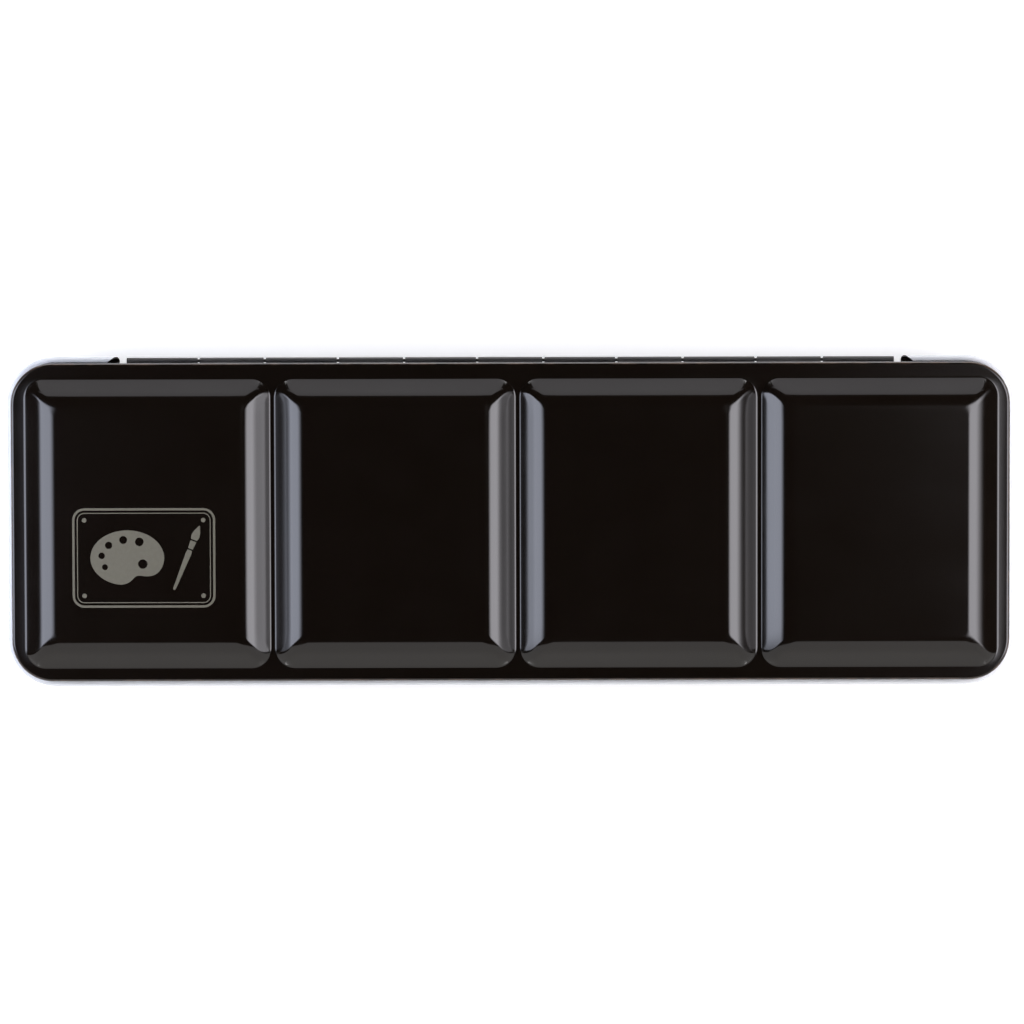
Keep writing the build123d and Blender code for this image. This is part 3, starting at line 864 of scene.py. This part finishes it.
def cake_mesh(low, high, seed):
    """One cake of paint in its place, with a skin that climbs the walls a little and dips unevenly."""
    rng = random.Random(seed)
    centre = (low + high) / 2
    half = (high - low) / 2
    tilt_x = rng.uniform(-CAKE_TILT, CAKE_TILT)
    tilt_y = rng.uniform(-CAKE_TILT, CAKE_TILT)
    dip_x = rng.uniform(-CAKE_DIP_SHIFT, CAKE_DIP_SHIFT) * half.x
    dip_y = rng.uniform(-CAKE_DIP_SHIFT, CAKE_DIP_SHIFT) * half.y
    dip = rng.uniform(*CAKE_DIP)
    x_stops = spread(CAKE_CORNER - half.x, half.x - CAKE_CORNER, CAKE_STOPS[0])
    y_stops = spread(CAKE_CORNER - half.y, half.y - CAKE_CORNER, CAKE_STOPS[1])
    size = (half.x - CAKE_ROOM, half.y - CAKE_ROOM)
    stations = rounded_outline(*size, CAKE_CORNER, CAKE_CORNER_STEPS, x_stops, y_stops)
    shell = Shell()
    taper = (high.z - low.z) * math.tan(PAN_DRAFT)

    def skin(inset):
        """A ring of the top, drawn in towards the middle by a share of its size."""
        points = []
        for x, y, nx, ny in stations:
            px = x * (1 - inset)
            py = y * (1 - inset)
            wall = inset * min(half.x, half.y)
            climb = PAINT_MENISCUS * math.exp(-wall / PAINT_MENISCUS_REACH)
            spot = ((px - dip_x) / half.x) ** 2 + ((py - dip_y) / half.y) ** 2
            z = high.z - PAINT_MENISCUS + climb - dip * math.exp(-spot * 2.0) * min(1.0, inset * 4)
            points.append((centre.x + px, centre.y + py, z + tilt_x * px + tilt_y * py))
        return shell.ring(points)

    foot = shell.ring(offset_ring(stations, -taper, low.z, centre.xy))
    rings = [skin((i / SKIN_STEPS) ** 1.8) for i in range(SKIN_STEPS)]
    shell.loft([foot, *rings])
    shell.fill([foot], flip=True)
    last = rings[-1]
    middle = shell.ring([sum((shell.points[n] for n in last), Vector()) / len(last)])[0]
    for i, n in enumerate(last):
        shell.face((n, last[(i + 1) % len(last)], middle))
    return shell


def make_pans():
    """Every half pan and every cake, in the place of its node."""
    plastic = pan_plastic()
    slots = {material["slot"]: material for material in frame["record"]["materials"]}
    for name in sorted(frame["nodes"]):
        low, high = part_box(name)
        if name.startswith("half_pan_"):
            half_x = (high.x - low.x) / 2 - PAN_LIP
            half_y = (high.y - low.y) / 2 - PAN_LIP
            shell = pan_mesh(half_x, half_y, high.z - low.z)
            pan = shell.make(name.replace("half_pan", "pan_cup"), [plastic])
            pan.location = ((low.x + high.x) / 2, (low.y + high.y) / 2, low.z)
            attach(pan, "box")
            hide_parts(name)
        elif name.startswith("paint_"):
            slot = name.replace("paint_", "cake_")
            material = cake_material(slot, slots[slot]["base_color"][:3])
            cake = cake_mesh(low, high, name).make(slot, [material], 60)
            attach(cake, "box")
            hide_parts(name)


def tube(shell, path, radius):
    """Adds a closed tube along a flat closed path of points and outward directions."""
    rings = []
    for (x, y, z), (nx, ny) in path:
        around = circle(0.0, z, radius, WIRE_SIDES)
        rings.append(shell.ring([(x + nx * out, y + ny * out, height) for out, height in around]))
    shell.loft(rings + rings[:1])


def make_thumb_ring():
    """The wire ring: a straight bar in the strap, two short sides and a round bow."""
    half_width = (ring_high.x - ring_low.x) / 2 - RING_WIRE_RADIUS
    pivot_y = ring_low.y + RING_WIRE_RADIUS
    z = (ring_low.z + ring_high.z) / 2
    bow_y = pivot_y + RING_CORNER + RING_SIDE
    path = []

    def arc(cx, cy, radius, start, turn, steps):
        for i in range(steps + 1):
            angle = math.radians(start + turn * i / steps)
            nx = math.cos(angle)
            ny = math.sin(angle)
            path.append(((cx + radius * nx, cy + radius * ny, z), (nx, ny)))

    bar = half_width - RING_CORNER
    arc(bar, pivot_y + RING_CORNER, RING_CORNER, -90, 90, SMALL_CORNER_STEPS)
    arc(0.0, bow_y, half_width, 0, 180, BOW_STEPS)
    arc(-bar, pivot_y + RING_CORNER, RING_CORNER, 180, 90, SMALL_CORNER_STEPS)
    shell = Shell()
    tube(shell, path, RING_WIRE_RADIUS)
    ring = shell.make("thumb_ring_wire", [NICKEL])
    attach(ring, "ring")
    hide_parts("thumb_ring")


def make_strap():
    """The sheet strap over the ring's bar."""
    pivot_y = ring_low.y + RING_WIRE_RADIUS
    pivot_z = (ring_low.z + ring_high.z) / 2
    loop = RING_WIRE_RADIUS + RING_GAP + STRAP_SHEET / 2
    foot_v = strap_high.z - STRAP_SHEET / 2 - pivot_z
    foot_u = (strap_high.y - strap_low.y) / 2
    lift = math.asin(foot_v / loop)
    bend_u = loop * math.cos(lift)
    path = [(-foot_u, foot_v), (-bend_u - STRAP_KINK, foot_v)]
    for i in range(STRAP_STEPS + 1):
        angle = math.pi - lift + (math.pi + 2 * lift) * i / STRAP_STEPS
        path.append((loop * math.cos(angle), loop * math.sin(angle)))
    path += [(bend_u + STRAP_KINK, foot_v), (foot_u, foot_v)]
    shell = Shell()
    section = strip_section(path, STRAP_SHEET)
    extrude_section(shell, section, strap_low.x, strap_high.x - strap_low.x, (pivot_y, pivot_z))
    strap = shell.make("ring_strap", [BLACK])
    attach(strap, "box")
    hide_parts("thumb_ring_strap")


def make_rivets():
    """Four rivets, each with a low dome under the strap and another on the floor of the box."""
    low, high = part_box("strap_rivets")
    shell = Shell()
    for x in (low.x + RIVET_HEAD_RADIUS, high.x - RIVET_HEAD_RADIUS):
        for y in (low.y + RIVET_HEAD_RADIUS, high.y - RIVET_HEAD_RADIUS):
            for tip, way in ((low.z, 1), (high.z, -1)):
                rings = []
                for i in range(DOME_STEPS + 1):
                    angle = math.pi / 2 * i / DOME_STEPS
                    radius = RIVET_HEAD_RADIUS * max(math.sin(angle), 0.02)
                    z = tip + way * RIVET_HEAD_HEIGHT * (1 - math.cos(angle))
                    rings.append(shell.ring([(*point, z) for point in circle(x, y, radius, DOME_SIDES)]))
                shell.loft(rings)
                shell.cap(rings[0])
                shell.cap(rings[-1])
    rivets = shell.make("ring_strap_rivets", [NICKEL])
    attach(rivets, "box")
    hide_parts("strap_rivets")


def print_frame(inset, line):
    """Outer and inner outline of a line of the frame."""
    outlines = []
    for gap in (inset, inset + line):
        size = (PRINT_FRAME[0] - gap, PRINT_FRAME[1] - gap)
        stations = rounded_outline(*size, PRINT_FRAME_CORNER - gap, SMALL_CORNER_STEPS, [], [])
        outlines.append([station[:2] for station in stations])
    return outlines


def palette_outlines():
    """A painter's palette: its edge with a dent for the thumb, its thumb hole and five bare spots."""
    cx, cy = PALETTE_PLACE
    half_x, half_y = PALETTE_HALF
    edge = []
    for k in range(PALETTE_STEPS):
        turn = 2 * math.pi * k / PALETTE_STEPS
        dent = 1 - THUMB_DENT * math.exp(-(((turn - THUMB_DENT_PLACE) / THUMB_DENT_WIDTH) ** 2))
        edge.append((cx + half_x * dent * math.cos(turn), cy + half_y * dent * math.sin(turn)))
    holes = [circle(cx + 0.42 * half_x, cy - 0.22 * half_y, 0.17 * half_y)]
    for k in range(PALETTE_SPOTS):
        turn = math.radians(62 + 37 * k)
        spot_x = cx + 0.70 * half_x * math.cos(turn)
        spot_y = cy + 0.66 * half_y * math.sin(turn)
        holes.append(circle(spot_x, spot_y, (0.155 - 0.012 * k) * half_y))
    return [edge, *holes]


def brush_outlines():
    """A brush in three parts, handle, ferrule and hair, as (length along it, half width) down to up."""
    parts = (
        ((0.00, 0.15), (0.02, 0.30), (0.30, 0.46), (0.56, 0.62), (0.62, 0.52)),
        ((0.64, 0.54), (0.76, 0.66)),
        ((0.78, 0.70), (0.84, 0.92), (0.91, 0.70), (1.00, 0.06)),
    )
    outlines = []
    for part in parts:
        side = [((share - 0.5) * BRUSH_LENGTH, half * MM) for share, half in part]
        edge = [(half, along) for along, half in side] + [(-half, along) for along, half in reversed(side)]
        cos = math.cos(BRUSH_TURN)
        sin = math.sin(BRUSH_TURN)
        outlines.append(
            [(BRUSH_PLACE[0] + x * cos - y * sin, BRUSH_PLACE[1] + x * sin + y * cos) for x, y in edge]
        )
    return outlines


def make_print():
    """The print on the first well: a palette and a brush in a double frame, with a dot in each corner."""
    shell = Shell()
    low = LID_PLATE_Z + WELL_HEIGHT - WELL_SINK + PRINT_LIFT
    motifs = [print_frame(inset, line) for inset, line in PRINT_FRAME_LINES]
    motifs.append(palette_outlines())
    motifs += [[outline] for outline in brush_outlines()]
    dot_x = PRINT_FRAME[0] - PRINT_DOT_INSET
    dot_y = PRINT_FRAME[1] - PRINT_DOT_INSET
    for x in (-dot_x, dot_x):
        for y in (-dot_y, dot_y):
            motifs.append([circle(x, y, PRINT_DOT_RADIUS)])
    for outlines in motifs:
        rings = []
        for z in (low, low + PRINT_FILM):
            rings.append([])
            for outline in outlines:
                points = [(PRINT_PLACE[0] + x, PRINT_PLACE[1] + y, z) for x, y in outline]
                rings[-1].append(shell.ring(points))
        shell.fill(rings[0], flip=True)
        shell.fill(rings[1])
        for a, b in zip(*rings):
            shell.bridge(a, b)
    film = shell.make("lid_print", [print_ink()])
    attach(film, "cover")


def dress_cad_nodes():
    """Finishes of the CAD pieces that stay as they are."""
    finishes = {"pan_rail_back": TINPLATE, "pan_rail_front": TINPLATE, "lid_hinge_pin": dark_wire()}
    for name, material in finishes.items():
        frame["nodes"][name].data.materials.clear()
        frame["nodes"][name].data.materials.append(material)


def make_floor():
    """Wide pale floor, lifted to white where it is seen directly or mirrored, which keeps the shadow."""
    shell = Shell()
    shell.plate(-FLOOR_HALF, -FLOOR_HALF, FLOOR_HALF, FLOOR_HALF, 0)
    material = bpy.data.materials.new("floor_paper")
    material.use_nodes = True
    tree = material.node_tree
    tree.nodes.clear()
    output = tree.nodes.new("ShaderNodeOutputMaterial")
    paper = tree.nodes.new("ShaderNodeBsdfDiffuse")
    paper.inputs["Color"].default_value = (0.86, 0.86, 0.86, 1)
    glow = tree.nodes.new("ShaderNodeEmission")
    glow.inputs["Color"].default_value = (1, 1, 1, 1)
    rays = tree.nodes.new("ShaderNodeLightPath")
    seen = math_node(tree, "ADD", rays.outputs["Is Camera Ray"], rays.outputs["Is Glossy Ray"])
    seen = math_node(tree, "ADD", seen, rays.outputs["Is Transmission Ray"])
    tree.links.new(math_node(tree, "MULTIPLY", seen, FLOOR_LIFT), glow.inputs["Strength"])
    both = tree.nodes.new("ShaderNodeAddShader")
    tree.links.new(paper.outputs["BSDF"], both.inputs[0])
    tree.links.new(glow.outputs["Emission"], both.inputs[1])
    tree.links.new(both.outputs["Shader"], output.inputs["Surface"])
    shell.make("floor", [material])


def black_card(shell, name):
    """Makes a card that shades and is mirrored in the enamel as black, but isn't seen by the camera."""
    material = new_material(name, (0.01, 0.01, 0.01), 1.0, Specular_IOR_Level=0.0)[0]
    card = shell.make(name, [material])
    card.visible_camera = False


def add_ceiling():
    """A black ceiling, open in front and behind."""
    shell = Shell()
    shell.plate(-CEILING_HALF_X, -CEILING_FRONT, CEILING_HALF_X, CEILING_BACK, CEILING_Z)
    black_card(shell, "ceiling_card")


def add_wall(name, start, end):
    """A black wall round part of the table, from one bearing to another, in degrees from +X towards +Y."""
    shell = Shell()
    low = []
    high = []
    for i in range(WALL_STEPS + 1):
        bearing = math.radians(start + (end - start) * i / WALL_STEPS)
        x = WALL_DISTANCE * math.cos(bearing)
        y = WALL_DISTANCE * math.sin(bearing)
        low.append((x, y, 0.0))
        high.append((x, y, WALL_HEIGHT))
    shell.bridge(shell.ring(low), shell.ring(high), closed=False)
    black_card(shell, name)


def fade_edges(data, fades):
    """Fades a lamp smoothly to dark at its edges: (low, high) shares of its side along X, and along Y."""
    data.use_nodes = True
    tree = data.node_tree
    place = tree.nodes.new("ShaderNodeNewGeometry")
    split = tree.nodes.new("ShaderNodeSeparateXYZ")
    tree.links.new(place.outputs["Parametric"], split.inputs["Vector"])
    strength = 1.0
    for axis, (low, high) in zip("XY", fades):
        for start, end in ((0.0, low), (1.0, 1.0 - high)):
            rise = remap(tree, split.outputs[axis], start, end, smooth=True)
            strength = math_node(tree, "MULTIPLY", rise, strength)
    tree.links.new(strength, tree.nodes["Emission"].inputs["Strength"])


def new_lamp(name, length, width, radiance, place, turn):
    """Adds a rectangular lamp that the camera doesn't see, and returns its light."""
    data = bpy.data.lights.new(name, "AREA")
    data.shape = "RECTANGLE"
    data.size = length
    data.size_y = width
    data.energy = radiance * math.pi * data.size * data.size_y
    lamp = bpy.data.objects.new(name, data)
    lamp.location = place
    lamp.rotation_euler = turn
    lamp.visible_camera = False
    bpy.context.scene.collection.objects.link(lamp)
    return data


def add_lamp(name, left, right, near_y, far_y, radiance, color, fades):
    """A soft box between two edges along Y, given as (x, z), the left one first."""
    along = Vector(right) - Vector(left)
    middle = (Vector(left) + Vector(right)) / 2
    place = (middle.x, (near_y + far_y) / 2, middle.y)
    turn = (0, math.atan2(-along.y, along.x), 0)
    data = new_lamp(name, along.length, far_y - near_y, radiance, place, turn)
    data.color = color
    fade_edges(data, fades)


def add_strip(name, y, height, radiance):
    """A low strip light on the table, along X, that shines towards the object."""
    turn = (math.copysign(math.pi / 2, -y), 0, 0)
    new_lamp(name, STRIP_LENGTH, height, radiance, (0, y, height / 2), turn)


def make_camera():
    """Nearly straight above, a little towards the hinge, with the picture turned by a trace."""
    data = bpy.data.cameras.new("camera")
    data.sensor_width = SENSOR_WIDTH
    data.lens = data.sensor_width * CAMERA_DISTANCE / FRAME_WIDTH
    camera = bpy.data.objects.new("camera", data)
    target = Vector((AIM_X, AIM_Y, CURL_Z))
    tilt = math.atan2(CAMERA_BACK - AIM_Y, CAMERA_DISTANCE)
    back = Vector((0, math.sin(tilt), math.cos(tilt)))
    side = Vector((1, 0, 0))
    up = back.cross(side)
    turn = Matrix.Rotation(CAMERA_ROLL, 3, back)
    basis = Matrix((turn @ side, turn @ up, back)).transposed()
    camera.matrix_world = Matrix.Translation(target + back * CAMERA_DISTANCE) @ basis.to_4x4()
    bpy.context.scene.collection.objects.link(camera)
    bpy.context.scene.camera = camera


def make_world():
    """A white room, a trace warmer and darker in front than behind."""
    world = bpy.data.worlds.new("studio")
    world.use_nodes = True
    tree = world.node_tree
    direction = tree.nodes.new("ShaderNodeTexCoord")
    split = tree.nodes.new("ShaderNodeSeparateXYZ")
    tree.links.new(direction.outputs["Generated"], split.inputs["Vector"])
    backwards = remap(tree, split.outputs["Y"], -1.0, 1.0)
    sky = mix_color(tree, backwards, FRONT_SKY, BACK_SKY)
    tree.links.new(sky, tree.nodes["Background"].inputs["Color"])
    bpy.context.scene.world = world


# Camera: the width of the photograph at the height of the curl, and what it points at
FRAME_WIDTH = 224.46 * MM
CAMERA_DISTANCE = 820 * MM
SENSOR_WIDTH = 36.0
CAMERA_BACK = 34 * MM
CAMERA_ROLL = math.radians(-0.13)
AIM_X = 0.32 * MM
AIM_Y = 1.92 * MM

# Light: two soft boxes close to the object, left and right, and a dim glow overhead, each given by the
# (x, z) of its left and right edge, its span along Y and the shares of its sides over which it fades.
# A low strip stands in front and another behind, in a white room with a black ceiling and side walls.
LEFT_BOX = ((-0.305, 0.050), (-0.146, 0.290), -0.075, 0.095)
LEFT_FADES = ((0.232, 0.370), (0.15, 0.15))
LEFT_RADIANCE = 5.0
LEFT_COLOR = (0.80, 0.845, 1.0)
RIGHT_BOX = ((0.170, 0.467), (0.276, 0.046), -0.11, 0.13)
RIGHT_FADES = ((0.340, 0.355), (0.15, 0.15))
RIGHT_RADIANCE = 5.5
RIGHT_COLOR = (0.96, 0.94, 1.0)
GLOW_BOX = ((0.15, 1.40), (0.45, 1.40), -0.06, 0.50)
GLOW_FADES = ((0.40, 0.33), (0.21, 0.20))
GLOW_RADIANCE = 0.12
GLOW_COLOR = (1.0, 1.0, 1.0)
STRIP_DISTANCE = 0.6
STRIP_LENGTH = 0.8
FRONT_STRIP_HEIGHT = 0.045
FRONT_STRIP_RADIANCE = 5.5
BACK_STRIP_HEIGHT = 0.10
BACK_STRIP_RADIANCE = 7.0
FRONT_SKY = (0.72, 0.70, 0.68)
BACK_SKY = (0.86, 0.84, 0.88)
CEILING_Z = 1.5
CEILING_HALF_X = 5.0
CEILING_FRONT = 0.83
CEILING_BACK = 2.9
WALL_DISTANCE = 1.6
WALL_HEIGHT = 0.62
LEFT_WALL = (115, 200)
RIGHT_WALL = (-20, 65)
FLOOR_HALF = 6.0
FLOOR_LIFT = 0.54

make_lid()
make_base()
make_pans()
make_thumb_ring()
make_strap()
make_rivets()
make_print()
dress_cad_nodes()
make_floor()
add_ceiling()
add_wall("left_wall", *LEFT_WALL)
add_wall("right_wall", *RIGHT_WALL)
add_lamp("left_soft_box", *LEFT_BOX, LEFT_RADIANCE, LEFT_COLOR, LEFT_FADES)
add_lamp("right_soft_box", *RIGHT_BOX, RIGHT_RADIANCE, RIGHT_COLOR, RIGHT_FADES)
add_lamp("overhead_glow", *GLOW_BOX, GLOW_RADIANCE, GLOW_COLOR, GLOW_FADES)
add_strip("front_strip", -STRIP_DISTANCE, FRONT_STRIP_HEIGHT, FRONT_STRIP_RADIANCE)
add_strip("back_strip", STRIP_DISTANCE, BACK_STRIP_HEIGHT, BACK_STRIP_RADIANCE)
make_world()
make_camera()
bpy.context.scene.view_settings.view_transform = "Standard"
